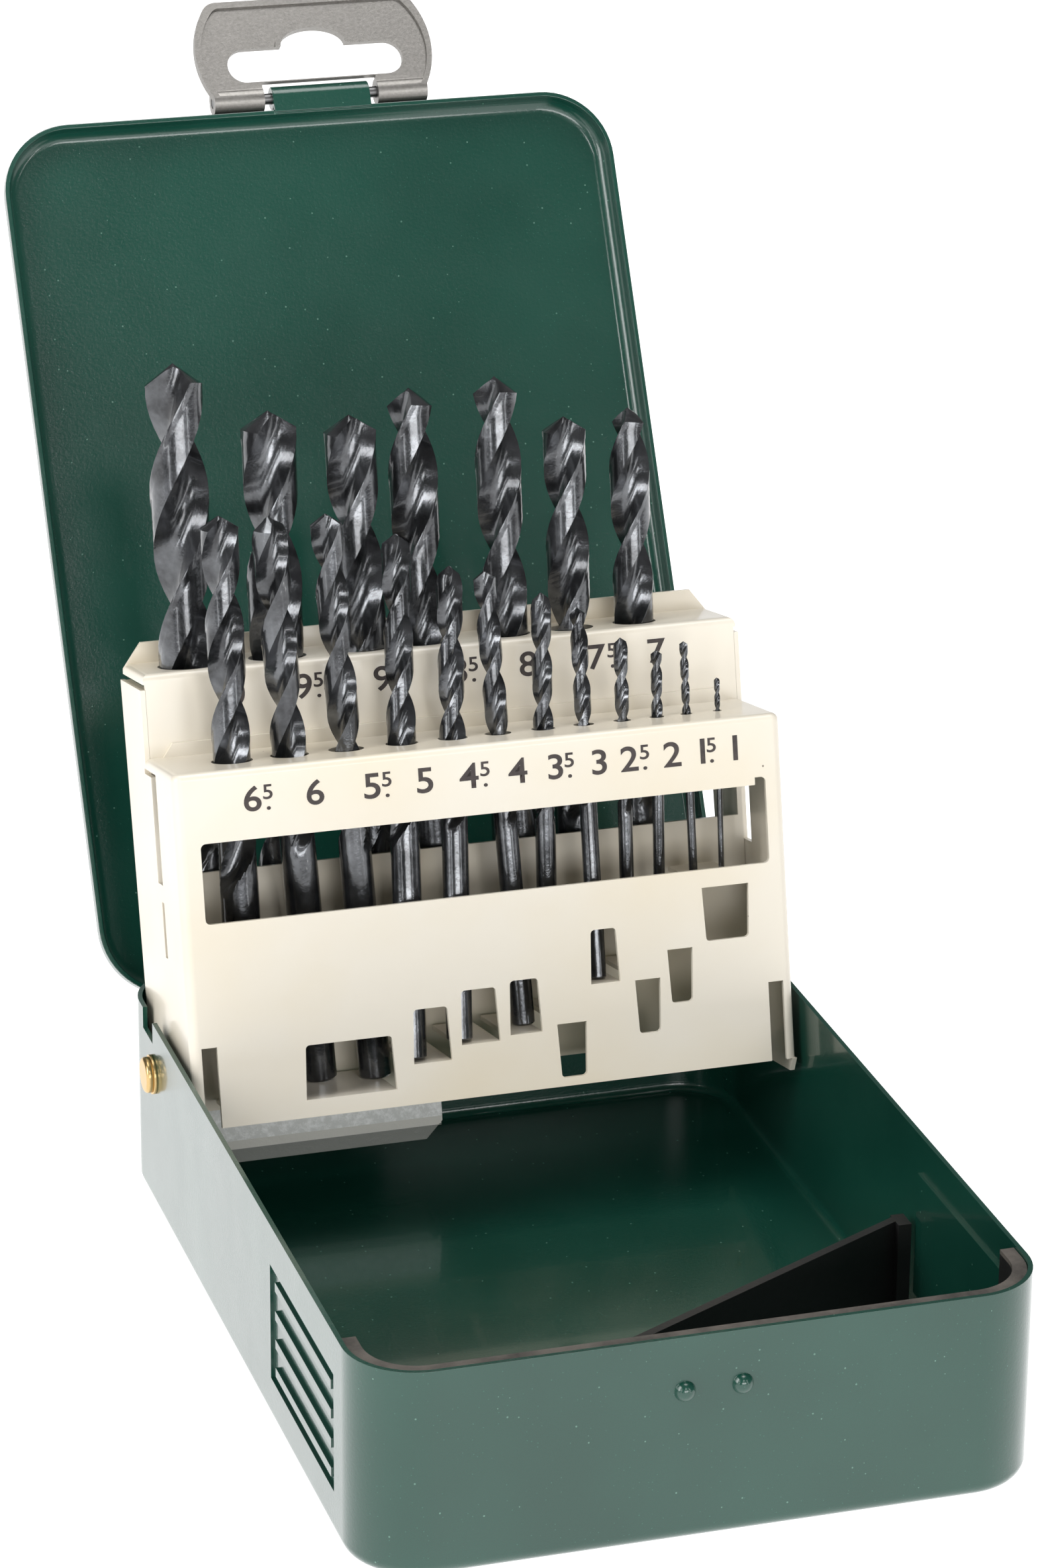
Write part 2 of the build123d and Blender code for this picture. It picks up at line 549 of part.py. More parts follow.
def deep_pocket(foot):
    """The deep box floor at the left for the three longest bits."""
    front = FRONT_SHELF_DEPTH
    low = DEEP_FLOOR_W - RACK_SHEET
    inside = (DEEP_LEFT + RACK_SHEET, DEEP_RIGHT - RACK_SHEET)
    pocket = slab((DEEP_LEFT, DEEP_RIGHT), (front, FLOOR_REACH), (low, foot + RACK_SHEET))
    pocket -= slab(inside, (front + RACK_SHEET, FLOOR_REACH + 1), (DEEP_FLOOR_W, foot + RACK_SHEET + 1))
    edge = low - DEEP_LIP
    points = [(DEEP_LEFT, foot), (DEEP_RIGHT, foot), (DEEP_RIGHT, edge + DEEP_LIP_CHAMFER),
              (DEEP_RIGHT - DEEP_LIP_CHAMFER, edge), (DEEP_LEFT, edge)]
    corner = slab((DEEP_RIGHT - DEEP_LIP_CHAMFER, DEEP_RIGHT + 1), (front - 1, front + RACK_SHEET),
                  (edge - 1, foot))
    return pocket - corner + upright_plate(points, front, RACK_SHEET)


def rear_rack():
    """Riser, rear shelf, inner flanges and pocket floors, nested inside the front sheet's flanges."""
    half = RACK_HALF - RACK_SHEET - PIVOT_CLEAR / 2
    front, back = FRONT_SHELF_DEPTH, RACK_DEPTH
    foot = SHALLOW_FLOOR_W - RACK_SHEET
    top = REAR_SHELF_W - SHELF_TAB - SHELF_TAB_GAP
    points = [(front, foot), (front, top), (back - RACK_SHEET, top), (FLANGE_FOOT_DEPTH, foot)]
    sheet = riser(half)
    for side in (-1, 1):
        sheet += flange_plate(side_span(side, half, half - RACK_SHEET), points)
    sheet += rear_shelf()
    sheet += slab((-half, half), (front, FLOOR_REACH), (foot, SHALLOW_FLOOR_W))
    sheet -= slab((DEEP_LEFT + RACK_SHEET, DEEP_RIGHT - RACK_SHEET), (front + RACK_SHEET, FLOOR_REACH + 1),
                  (foot - 1, SHALLOW_FLOOR_W + 1))
    sheet += deep_pocket(foot)
    inner = half - RACK_SHEET
    for side in (-1, 1):
        sheet -= rod(side_span(side, RACK_HALF + 1, inner), PIVOT_V, PIVOT_W, RIVET_RADIUS + PIVOT_CLEAR)
        tail_room = side_span(side, inner, inner - RIVET_TAIL - TAIL_CLEAR)
        sheet -= rod(tail_room, PIVOT_V, PIVOT_W, RIVET_TAIL_RADIUS + TAIL_CLEAR)
    return RACK_FRAME * sheet


def rivet(side):
    """A brass rivet through the wall, its spacer and the rack's two flanges."""
    inner = RACK_HALF - 2 * RACK_SHEET - PIVOT_CLEAR
    head_in = HALF_WIDTH + WASHER_THICK
    body = rod(side_span(side, head_in, inner), PIVOT_Y, PIVOT_Z, RIVET_RADIUS)
    head = rod(side_span(side, head_in + RIVET_HEAD, head_in), PIVOT_Y, PIVOT_Z, RIVET_HEAD_RADIUS)
    rim = head.edges().sort_by(Axis.X)[-1 if side > 0 else 0]
    head = fillet(rim, RIVET_HEAD / 2)
    tail = rod(side_span(side, inner, inner - RIVET_TAIL), PIVOT_Y, PIVOT_Z, RIVET_TAIL_RADIUS)
    return body + head + tail


def ring(side, outer, inner, radius):
    x = side_span(side, outer, inner)
    return rod(x, PIVOT_Y, PIVOT_Z, radius) - rod(x, PIVOT_Y, PIVOT_Z, RIVET_RADIUS)


def twist_bit(size, length, flute):
    """A two-flute drill bit, shank end at the origin and point up."""
    radius = size / 2
    reach = radius * WEB_SHARE + size * FLUTE_SHARE
    section = Circle(radius)
    for side in (-1, 1):
        section -= Pos(side * reach, 0) * Circle(size * FLUTE_SHARE)
    lead = math.pi * size / math.tan(math.radians(HELIX_ANGLE))
    shank = length - flute
    turn = 360 * flute / lead
    fluted = Solid.extrude_linear_with_rotation(section.face(), (0, 0, 0), (0, 0, flute), turn)
    spread = length * math.tan(math.radians(POINT_ANGLE / 2))
    point = Rot(180, 0, 0) * Cone(0.001, spread, length, align=(Align.CENTER, Align.CENTER, Align.MIN))
    fluted = Pos(0, 0, shank) * (fluted & (Pos(0, 0, flute) * point))
    return fluted + Cylinder(radius, shank, align=(Align.CENTER, Align.CENTER, Align.MIN))


def front_seat(x):
    """The height in the rack of the ledge that a front bit's foot stands on."""
    for left, right, low, tab_high in REST_WINDOWS:
        if left < x < right:
            return low + REST_WINDOW_HEIGHT + RACK_SHEET if tab_high else low
    return FOOT_TAB_W


def rear_seat(x):
    return DEEP_FLOOR_W if x < DEEP_FLOOR_RIGHT else SHALLOW_FLOOR_W


def standing_bit(size, foot, hole, length, flute):
    """A bit that stands on its foot and leans through the middle of its hole; both are (x, v, w)."""
    across, back, up = [b - a for a, b in zip(foot, hole)]
    lean_back = math.degrees(math.atan2(back, up))
    lean_side = math.degrees(math.atan2(across, math.hypot(back, up)))
    lift = size / 2 * math.hypot(across, back) / math.dist(foot, hole)
    place = Pos(foot[0], foot[1], foot[2] + lift) * Rot(-lean_back, 0, 0) * Rot(0, lean_side, 0)
    return RACK_FRAME * place * twist_bit(size, length, flute)


def bit_name(size):
    return "bit_" + f"{size:04.1f}".replace(".", "_")


def bits():
    pieces = {}
    for size, foot_x, foot_v, hole_x, length, flute in FRONT_BITS:
        foot = (foot_x * RACK_SPREAD, foot_v, front_seat(foot_x))
        hole = (hole_x * RACK_SPREAD, FRONT_ROW_V, FRONT_SHELF_W - RACK_SHEET / 2)
        pieces[bit_name(size)] = standing_bit(size, foot, hole, length, flute)
    for size, foot_x, hole_x, length, flute in REAR_BITS:
        foot = (foot_x * RACK_SPREAD, REAR_ROW_V, rear_seat(foot_x))
        hole = (hole_x * RACK_SPREAD, REAR_ROW_V, REAR_SHELF_W - RACK_SHEET / 2)
        pieces[bit_name(size)] = standing_bit(size, foot, hole, length, flute)
    return pieces


def all_pieces():
    pieces = {
        "base_tray": tray(),
        "front_liner": front_liner(),
        "hinge_pin": hinge_pin(),
        "lid_shell": lid(),
        "hanger_pin": latch_pin(),
        "hanger_latch": hanger(),
        "front_rack": front_rack(),
        "rear_rack": rear_rack(),
    }
    for side, name in ((-1, "left"), (1, "right")):
        pieces["rivet_" + name] = rivet(side)
        pieces["washer_" + name] = ring(side, HALF_WIDTH + WASHER_THICK, HALF_WIDTH, WASHER_RADIUS)
        pieces["spacer_" + name] = ring(side, INNER_HALF_WIDTH, RACK_HALF + PIVOT_CLEAR, SPACER_RADIUS)
    pieces.update(bits())
    return pieces


os.makedirs("parts", exist_ok=True)
for node, piece in all_pieces().items():
    export_step(piece, f"parts/{node}.step")
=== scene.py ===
"""Dresses the drill bit case: painted sheet steel, a cream rack of twist drill bits, and a grey hanger."""

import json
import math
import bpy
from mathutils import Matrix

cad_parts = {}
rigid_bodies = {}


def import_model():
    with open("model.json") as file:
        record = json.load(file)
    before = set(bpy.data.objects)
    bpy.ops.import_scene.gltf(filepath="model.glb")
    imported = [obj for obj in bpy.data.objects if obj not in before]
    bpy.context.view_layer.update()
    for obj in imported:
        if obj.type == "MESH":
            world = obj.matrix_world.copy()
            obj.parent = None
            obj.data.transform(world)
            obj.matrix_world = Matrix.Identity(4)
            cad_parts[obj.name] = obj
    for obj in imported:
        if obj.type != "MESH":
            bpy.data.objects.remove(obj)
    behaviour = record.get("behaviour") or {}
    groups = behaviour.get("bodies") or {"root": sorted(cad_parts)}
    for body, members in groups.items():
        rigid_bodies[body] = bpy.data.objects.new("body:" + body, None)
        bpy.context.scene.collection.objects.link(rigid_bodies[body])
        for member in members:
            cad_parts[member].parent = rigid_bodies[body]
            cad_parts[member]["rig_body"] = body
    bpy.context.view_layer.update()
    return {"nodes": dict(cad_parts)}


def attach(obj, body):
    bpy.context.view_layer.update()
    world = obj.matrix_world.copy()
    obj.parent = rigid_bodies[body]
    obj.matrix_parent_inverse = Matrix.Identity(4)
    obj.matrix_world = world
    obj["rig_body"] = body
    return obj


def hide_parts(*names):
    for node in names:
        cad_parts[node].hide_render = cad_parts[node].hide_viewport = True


bl_info = {
    "name": "Drill bit case",
    "version": (1, 0, 0),
    "blender": (4, 5, 0),
    "location": "3D View > Sidebar > Drill Case",
    "description": "Builds the visible pieces of an open drill bit case around its fixed frame",
    "category": "Object",
}

import bmesh
import bpy
from mathutils import Matrix, Vector

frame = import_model()
MM = 0.001

# ---- The rack's own frame: x across, v back from its front panel, w up from the panel's foot ---------
RACK_LEAN = math.radians(12.7)
PIVOT = Vector((0, 55.9, 25.6)) * MM
PIVOT_IN_RACK = Vector((0, 21.7, 5.7)) * MM
RACK = Matrix.Translation(PIVOT) @ Matrix.Rotation(-RACK_LEAN, 4, "X") @ Matrix.Translation(-PIVOT_IN_RACK)

FRONT_ROW_V, FRONT_SHELF = 9.2, 59.6
REAR_ROW_V, REAR_SHELF = 26.6, 73.8
DEEP_FLOOR, SHALLOW_FLOOR = -8.2, 1.5
# The unpainted pocket under the panel's foot: its top, and the tops of its beige band and of the dark band
# of painted shade at its foot; the pale band above them is a painted reflection
POCKET_TOP, BEIGE_TOP, PAINTED_SHADE_TOP = -1.5 * MM, -7.2 * MM, -8.7 * MM
# Above this height the black liner is made lighter grey-brown, in noisy patches
LINER_GREY_TOP_Z = 33.8 * MM
# Front bits: size, foot (x, v, w), x at the hole, length, fluted length, turn about its axis in degrees
FRONT_BITS = (
    (6.5, (-41.2, 9.2, 1.0), -40.6, 100.1, 63.0, 20), (6.0, (-27.8, 14.6, 3.0), -30.7, 97.9, 57.0, 75),
    (5.5, (-18.7, 11.8, 3.0), -20.9, 97.1, 57.0, 130), (5.0, (-14.2, 3.7, 6.9), -11.2, 88.4, 52.0, 10),
    (4.5, (-5.9, 3.2, 9.2), -2.3, 80.0, 44.0, 60), (4.0, (6.8, 7.8, 9.9), 5.7, 77.8, 43.0, 100),
    (3.5, (12.0, 9.4, 11.6), 13.7, 71.6, 39.0, 150), (3.0, (19.3, 4.0, 17.0), 20.9, 63.0, 33.0, 45),
    (2.5, (26.7, 9.3, 17.6), 27.8, 56.6, 30.0, 90), (2.0, (32.5, 9.3, 22.2), 34.0, 49.3, 24.0, 0),
    (1.5, (39.1, 9.3, 32.2), 39.3, 40.3, 18.0, 30), (1.0, (44.2, 9.3, 32.2), 44.9, 33.5, 12.0, 80),
)
REAR_BITS = (
    (10.0, (-44.2, REAR_ROW_V, DEEP_FLOOR), -43.0, 133.5, 87.0, 40),
    (9.5, (-29.6, REAR_ROW_V, DEEP_FLOOR), -27.5, 124.2, 81.0, 110),
    (9.0, (-12.8, REAR_ROW_V, DEEP_FLOOR), -12.5, 122.4, 81.0, 70),
    (8.5, (-2.4, REAR_ROW_V, SHALLOW_FLOOR), -1.9, 116.4, 75.0, 0),
    (8.0, (12.2, REAR_ROW_V, SHALLOW_FLOOR), 13.1, 117.1, 75.0, 150),
    (7.5, (23.0, REAR_ROW_V, SHALLOW_FLOOR), 24.7, 109.2, 69.0, 55),
    (7.0, (34.6, REAR_ROW_V, SHALLOW_FLOOR), 36.3, 109.8, 69.0, 95),
)
# Numerals: size, middle x of its mark, and the step it is printed on (v of the face, w of the foot line)
GLYPH_STRETCH = 1.15
GLYPH_WEIGHT = 0.012
INK_STANDS_OUT = 0.03
DIGIT_GAP = 0.45 * MM
HALF_TUCK, HALF_ADVANCE = 0.15 * MM, 0.3 * MM
DOT_HEIGHT, DOT_SHIFT = 0.62 * MM, 0.35 * MM
MARK_SHIFT = 0.2 * MM
FRONT_MARK = (0.0, 52.7)
REAR_MARK = (20.0, 67.5)
MARKS = (
    (6.5, -38.7, FRONT_MARK), (6.0, -28.95, FRONT_MARK), (5.5, -18.2, FRONT_MARK), (5.0, -10.05, FRONT_MARK),
    (4.5, -1.4, FRONT_MARK), (4.0, 6.15, FRONT_MARK), (3.5, 13.75, FRONT_MARK), (3.0, 20.5, FRONT_MARK),
    (2.5, 26.8, FRONT_MARK), (2.0, 33.45, FRONT_MARK), (1.5, 39.85, FRONT_MARK), (1.0, 44.7, FRONT_MARK),
    (10.0, -37.3, REAR_MARK), (9.5, -23.9, REAR_MARK), (9.0, -11.0, REAR_MARK), (8.5, 3.4, REAR_MARK),
    (8.0, 14.9, REAR_MARK), (7.5, 28.2, REAR_MARK), (7.0, 38.05, REAR_MARK),
)


# Corners sharper than these stay creases; a sheet's edge is rounded where it turns by more than the last
SHEET_CREASE, BIT_CREASE = math.radians(28), math.radians(40)
EDGE_ANGLE = math.radians(35)
LINER_EDGE, HANGER_EDGE, RIVET_EDGE, WASHER_EDGE = 0.35 * MM, 0.25 * MM, 0.15 * MM, 0.1 * MM
# Studio: half the floor's width, its own glow, the room's glow and the point that the lights face, in metres
FLOOR_HALF, FLOOR_GLOW, ROOM_GLOW = 4.0, 1.4, 0.12
LIGHT_AIM = (0, 0, 0.09)
# Lights: name, place, width and height, power in watts
LIGHTS = (
    ("front_box", (-0.05, -1.3, 1.15), (0.3, 0.3), 2.6),
    ("low_front_box", (0.0, -1.25, 0.34), (0.9, 0.3), 6.5),
    ("left_box", (-1.1, -0.25, 0.65), (0.4, 0.9), 8),
    ("top_box", (0.1, 0.1, 1.2), (0.8, 0.6), 7),
    ("left_strip", (-0.79, -0.62, 0.35), (0.03, 0.8), 1.2),
    ("right_strip", (0.60, -0.80, 0.35), (0.03, 0.8), 1.2),
)
SENSOR_WIDTH = 36.0


# ---- What a user may change --------------------------------------------------------------------------
class DrillCasePaint(bpy.types.PropertyGroup):
    green: bpy.props.FloatVectorProperty(name="Green paint", description="Colour of the tray and lid",
                                         subtype="COLOR", size=3, min=0, max=1,
                                         default=(0.0045, 0.052, 0.035))
    cream: bpy.props.FloatVectorProperty(name="Cream paint", description="Colour of the rack",
                                         subtype="COLOR", size=3, min=0, max=1, default=(0.80, 0.745, 0.64))
    oxide: bpy.props.FloatVectorProperty(name="Black oxide", description="Colour of the bits",
                                         subtype="COLOR", size=3, min=0, max=1, default=(0.07, 0.073, 0.078))
    edge: bpy.props.FloatProperty(name="Edge rounding", description="Radius of the painted sheet's edges",
                                  unit="LENGTH", default=0.22 * MM, min=0)


class DrillCaseBits(bpy.types.PropertyGroup):
    helix: bpy.props.FloatProperty(name="Helix angle", description="Slope of the flutes from the bit's axis",
                                   subtype="ANGLE", default=math.radians(30), min=0.1, max=1.2)
    point: bpy.props.FloatProperty(name="Point angle", description="Whole angle of the bit's point",
                                   subtype="ANGLE", default=math.radians(118), min=1, max=3)
    web: bpy.props.FloatProperty(name="Core share", description="Core thickness over diameter",
                                 subtype="FACTOR", default=0.2, min=0.05, max=0.5)
    flute: bpy.props.FloatProperty(name="Flute share", description="Flute radius over diameter",
                                   subtype="FACTOR", default=0.36, min=0.2, max=0.6)
    relief: bpy.props.FloatProperty(name="Land relief", description="How far the land lies below its margin",
                                    subtype="FACTOR", default=0.03, min=0, max=0.1)
    columns: bpy.props.IntProperty(name="Columns", description="Faces round a bit",
                                   default=64, min=16, max=128)


class DrillCaseMarks(bpy.types.PropertyGroup):
    height: bpy.props.FloatProperty(name="Numeral height", description="Height of a whole numeral",
                                    unit="LENGTH", default=4.3 * MM, min=0)
    raised: bpy.props.FloatProperty(name="Half height", description="Height of the small raised five",
                                    unit="LENGTH", default=2.5 * MM, min=0)


class DrillCaseStage(bpy.types.PropertyGroup):
    azimuth: bpy.props.FloatProperty(name="Azimuth", description="Camera heading from straight back",
                                     subtype="ANGLE", default=math.radians(17.18))
    elevation: bpy.props.FloatProperty(name="Elevation", description="Camera height above the horizon",
                                       subtype="ANGLE", default=math.radians(21.75))
    roll: bpy.props.FloatProperty(name="Roll", description="Camera turn about its own axis",
                                  subtype="ANGLE", default=math.radians(0.47))
    place: bpy.props.FloatVectorProperty(name="Camera place", description="Where the camera stands",
                                         subtype="TRANSLATION", size=3, default=(-0.2390, -0.7481, 0.4073))
    lens: bpy.props.FloatProperty(name="Lens", description="Focal length on a 36 mm frame",
                                  unit="CAMERA", default=122.44, min=1)


GROUPS = {
    "drill_case_paint": DrillCasePaint,
    "drill_case_bits": DrillCaseBits,
    "drill_case_marks": DrillCaseMarks,
    "drill_case_stage": DrillCaseStage,
}


# ---- Node helpers ------------------------------------------------------------------------------------
class Graph:
    """A node tree with short ways to add and join nodes."""

    def __init__(self, tree):
        self.tree = tree

    def put(self, socket, value):
        if isinstance(value, bpy.types.NodeSocket):
            self.tree.links.new(value, socket)
        elif value is not None:
            socket.default_value = value

    def add(self, kind, settings=None, **inputs):
        node = self.tree.nodes.new(kind)
        for name, value in (settings or {}).items():
            setattr(node, name, value)
        for name, value in inputs.items():
            key = name.replace("_", " ")
            self.put(node.inputs[key], value)
        return node

    def math(self, operation, a, b=None, c=None, clamp=False):
        node = self.tree.nodes.new("ShaderNodeMath")
        node.operation = operation
        node.use_clamp = clamp
        for socket, value in zip(node.inputs, (a, b, c)):
            self.put(socket, value)
        return node.outputs[0]

    def ramp(self, factor, stops):
        """A colour ramp from (position, grey or colour) stops."""
        node = self.tree.nodes.new("ShaderNodeValToRGB")
        self.put(node.inputs[0], factor)
        elements = node.color_ramp.elements
        while len(elements) < len(stops):
            elements.new(0.5)
        for element, (position, colour) in zip(elements, stops):
            element.position = position
            grey = isinstance(colour, (int, float))
            element.color = (colour, colour, colour, 1) if grey else (*colour, 1)
        return node.outputs[0]

    def blend(self, factor, a, b, mode="MIX"):
        node = self.tree.nodes.new("ShaderNodeMix")
        node.data_type = "RGBA"
        node.blend_type = mode
        for socket, value in ((node.inputs[0], factor), (node.inputs[6], a), (node.inputs[7], b)):
            if isinstance(value, tuple) and len(value) == 3:
                value = (*value, 1)
            self.put(socket, value)
        return node.outputs[2]

    def noise(self, where, scale, detail=4.0, roughness=0.5, stretch=None):
        if stretch:
            where = self.add("ShaderNodeMapping", Vector=where, Scale=stretch).outputs[0]
        return self.add("ShaderNodeTexNoise", Vector=where, Scale=scale, Detail=detail,
                        Roughness=roughness).outputs[0]

    def bump(self, height, strength, distance):
        return self.add("ShaderNodeBump", Height=height, Strength=strength, Distance=distance).outputs[0]


def new_finish(name):
    material = bpy.data.materials.new(name)
    material.use_nodes = True
    graph = Graph(material.node_tree)
    surface = material.node_tree.nodes["Principled BSDF"]
    where = graph.add("ShaderNodeTexCoord").outputs["Object"]
    return material, graph, surface, where


def green_paint(paint):
    """Bottle-green gloss with sparse bright flakes and a sandy grain that breaks up its sheen."""
    material, g, surface, where = new_finish("green_flake_paint")
    base = tuple(paint.green)
    light = tuple(min(1.0, c * 1.12 + 0.002) for c in base)
    dark = tuple(c * 0.9 for c in base)
    colour = g.blend(g.ramp(g.noise(where, 28, 3), ((0.35, 0.0), (0.65, 1.0))), dark, light)
    colour = g.blend(flecks(g, where, 560.0, 0.085, 0.72), colour, (0.09, 0.20, 0.155))
    colour = g.blend(flecks(g, where, 1300.0, 0.12, 0.6), colour, (0.02, 0.10, 0.072))
    g.put(surface.inputs["Base Color"], colour)
    g.put(surface.inputs["Roughness"], g.math("MULTIPLY_ADD", g.noise(where, 90, 4), 0.1, 0.2))
    surface.inputs["Coat Weight"].default_value = 0.6
    surface.inputs["Coat Roughness"].default_value = 0.08
    grain = g.noise(where, 1800, 3, 0.7)
    g.put(surface.inputs["Normal"], g.bump(grain, 0.25, 0.0002))
    return material


def flecks(g, where, scale, radius, rarity):
    """A mask of small round specks, in the share of its cells above the given rarity."""
    cells = g.add("ShaderNodeTexVoronoi", Vector=where, Scale=scale)
    near = g.math("LESS_THAN", cells.outputs["Distance"], radius)
    pick = g.add("ShaderNodeSeparateColor", Color=cells.outputs["Color"]).outputs[0]
    return g.math("MULTIPLY", near, g.math("GREATER_THAN", pick, rarity))


def cream_paint(paint):
    """Cream gloss, a little warmer where handled, with fine dust in places."""
    material, g, surface, where = new_finish("cream_paint")
    base = tuple(paint.cream)
    warm = (base[0] * 0.97, base[1] * 0.93, base[2] * 0.84)
    colour = g.blend(g.ramp(g.noise(where, 24, 4), ((0.42, 0.0), (0.72, 1.0))), base, warm)
    colour = g.blend(flecks(g, where, 240.0, 0.045, 0.86), colour, (0.25, 0.21, 0.16))
    g.put(surface.inputs["Base Color"], colour)
    g.put(surface.inputs["Roughness"], g.math("MULTIPLY_ADD", g.noise(where, 70, 3), 0.16, 0.24))
    surface.inputs["Coat Weight"].default_value = 0.3
    surface.inputs["Coat Roughness"].default_value = 0.1
    g.put(surface.inputs["Normal"], g.bump(g.noise(where, 260, 2), 0.08, 0.0003))
    return material


def black_oxide(paint):
    """Blackened tool steel: dark and polished, with cloudy rubs and fine scratches."""
    material, g, surface, where = new_finish("black_oxide_steel")
    base = tuple(paint.oxide)
    cloud = g.noise(where, 160, 5, 0.6)
    dark = tuple(c * 0.55 for c in base)
    light = tuple(c * 2.2 for c in base)
    colour = g.blend(g.ramp(cloud, ((0.35, 0.0), (0.7, 1.0))), dark, light)
    rub = g.ramp(g.noise(where, 800, 5, 0.75, (1, 1, 0.3)), ((0.66, 0.0), (0.72, 1.0)))
    colour = g.blend(g.math("MULTIPLY", rub, 0.45), colour, (0.46, 0.47, 0.47))
    g.put(surface.inputs["Base Color"], colour)
    surface.inputs["Metallic"].default_value = 0.85
    g.put(surface.inputs["Roughness"], g.math("MULTIPLY_ADD", g.noise(where, 420, 5, 0.6), 0.24, 0.08))
    surface.inputs["Coat Weight"].default_value = 0.5
    surface.inputs["Coat Roughness"].default_value = 0.06
    g.put(surface.inputs["Normal"], g.bump(g.noise(where, 1100, 4, 0.65), 0.3, 0.0002))
    return material


def moulded_black():
    """Black moulded plastic, lighter grey-brown in noisy patches above a given height."""
    material, g, surface, where = new_finish("moulded_black_plastic")
    height = g.add("ShaderNodeSeparateXYZ", Vector=where).outputs[2]
    top = g.math("GREATER_THAN", height, LINER_GREY_TOP_Z)
    grey_patches = g.ramp(g.noise(where, 130, 6, 0.7), ((0.32, 0.25), (0.62, 1.0)))
    colour = g.blend(g.math("MULTIPLY", top, grey_patches), (0.012, 0.012, 0.012), (0.13, 0.115, 0.10))
    g.put(surface.inputs["Base Color"], colour)
    g.put(surface.inputs["Roughness"], g.math("MULTIPLY_ADD", g.noise(where, 160, 4), 0.25, 0.35))
    g.put(surface.inputs["Normal"], g.bump(g.noise(where, 1500, 3), 0.2, 0.0002))
    return material


def grey_hanger():
    """Satin grey metal with a fine sandy grain."""
    material, g, surface, where = new_finish("satin_grey_metal")
    grain = g.noise(where, 1700, 4, 0.7)
    colour = g.blend(grain, (0.17, 0.163, 0.152), (0.36, 0.345, 0.325))
    g.put(surface.inputs["Base Color"], colour)
    surface.inputs["Metallic"].default_value = 0.85
    g.put(surface.inputs["Roughness"], g.math("MULTIPLY_ADD", g.noise(where, 300, 4), 0.18, 0.3))
    g.put(surface.inputs["Normal"], g.bump(grain, 0.25, 0.0001))
    return material


def rubbed_metal(name, colour, rough, metallic=1.0):
    material, g, surface, where = new_finish(name)
    cloud = g.noise(where, 600, 5, 0.6)
    g.put(surface.inputs["Base Color"], g.blend(cloud, tuple(c * 0.7 for c in colour), colour))
    surface.inputs["Metallic"].default_value = metallic
    g.put(surface.inputs["Roughness"], g.math("MULTIPLY_ADD", cloud, 0.2, rough))
    g.put(surface.inputs["Normal"], g.bump(g.noise(where, 1800, 3), 0.15, 0.0001))
    return material


def pocket_metal():
    """The unpainted pocket under the rack, in bands of painted light: a pale spangled band that is a painted
    reflection, then a beige one, then a dark band of painted shade.
    """
    material, g, surface, where = new_finish("spangled_grey_metal_painted_light")
    up = RACK.to_3x3() @ Vector((0, 0, 1))
    dot = g.add("ShaderNodeVectorMath", {"operation": "DOT_PRODUCT"})
    g.put(dot.inputs[0], where)
    dot.inputs[1].default_value = up
    w = g.math("SUBTRACT", dot.outputs["Value"], up.dot(RACK @ Vector((0, 0, 0))))
    spangle = g.ramp(g.noise(where, 900, 6, 0.75), ((0.45, 0.0), (0.62, 1.0)))
    # Painted reflection: the top band is made near white, much lighter than the bare grey metal, to stand
    # for the bright light it reflects
    painted_reflection = g.blend(spangle, (0.72, 0.73, 0.71), (0.95, 0.96, 0.95))
    # Painted shade: the lowest band, at the pocket's foot, is made dark; the band above it is beige
    beige_and_painted_shade = g.blend(g.math("GREATER_THAN", w, PAINTED_SHADE_TOP), (0.2, 0.21, 0.19), (0.66, 0.65, 0.6))
    g.put(surface.inputs["Base Color"], g.blend(g.math("GREATER_THAN", w, BEIGE_TOP), beige_and_painted_shade, painted_reflection))
    surface.inputs["Roughness"].default_value = 0.35
    g.put(surface.inputs["Normal"], g.bump(spangle, 0.2, 0.0002))
    return material


def printed_ink():
    """Dark brown-black ink, thin and broken at places."""
    material, g, surface, where = new_finish("printed_ink")
    cloud = g.ramp(g.noise(where, 900, 5, 0.7), ((0.3, 0.0), (0.75, 1.0)))
    g.put(surface.inputs["Base Color"], g.blend(cloud, (0.02, 0.012, 0.012), (0.055, 0.04, 0.035)))
    surface.inputs["Roughness"].default_value = 0.5
    return material


FINISH = {}


def finish_of(name):
    """Makes each finish the first time it is asked for."""
    if name not in FINISH:
        paint = bpy.context.scene.drill_case_paint
        FINISH[name] = {
            "green": lambda: green_paint(paint), "cream": lambda: cream_paint(paint),
            "oxide": lambda: black_oxide(paint), "liner": moulded_black, "hanger": grey_hanger,
            "brass": lambda: rubbed_metal("rubbed_brass", (0.78, 0.55, 0.25), 0.22),
            "steel": lambda: rubbed_metal("dark_pin_steel", (0.2, 0.2, 0.2), 0.3),
            "pocket": pocket_metal, "ink": printed_ink,
        }[name]()
    return FINISH[name]


# ---- Mesh helpers ------------------------------------------------------------------------------------
def merged_copy(node, name):
    """A copy of a CAD node's mesh, its loose triangles merged and its flat faces joined up."""
    mesh = frame["nodes"][node].data.copy()
    mesh.name = name
    bm = bmesh.new()
    bm.from_mesh(mesh)
    bmesh.ops.remove_doubles(bm, verts=bm.verts, dist=1e-6)
    bmesh.ops.dissolve_limit(bm, angle_limit=math.radians(0.6), verts=bm.verts, edges=bm.edges,
                             delimit={"NORMAL"})
    bm.to_mesh(mesh)
    bm.free()
    piece = bpy.data.objects.new(name, mesh)
    bpy.context.scene.collection.objects.link(piece)
    return piece


def evaluated_mesh(piece):
    """A plain mesh of the piece with its modifiers applied."""
    graph = bpy.context.evaluated_depsgraph_get()
    return bpy.data.meshes.new_from_object(piece.evaluated_get(graph))


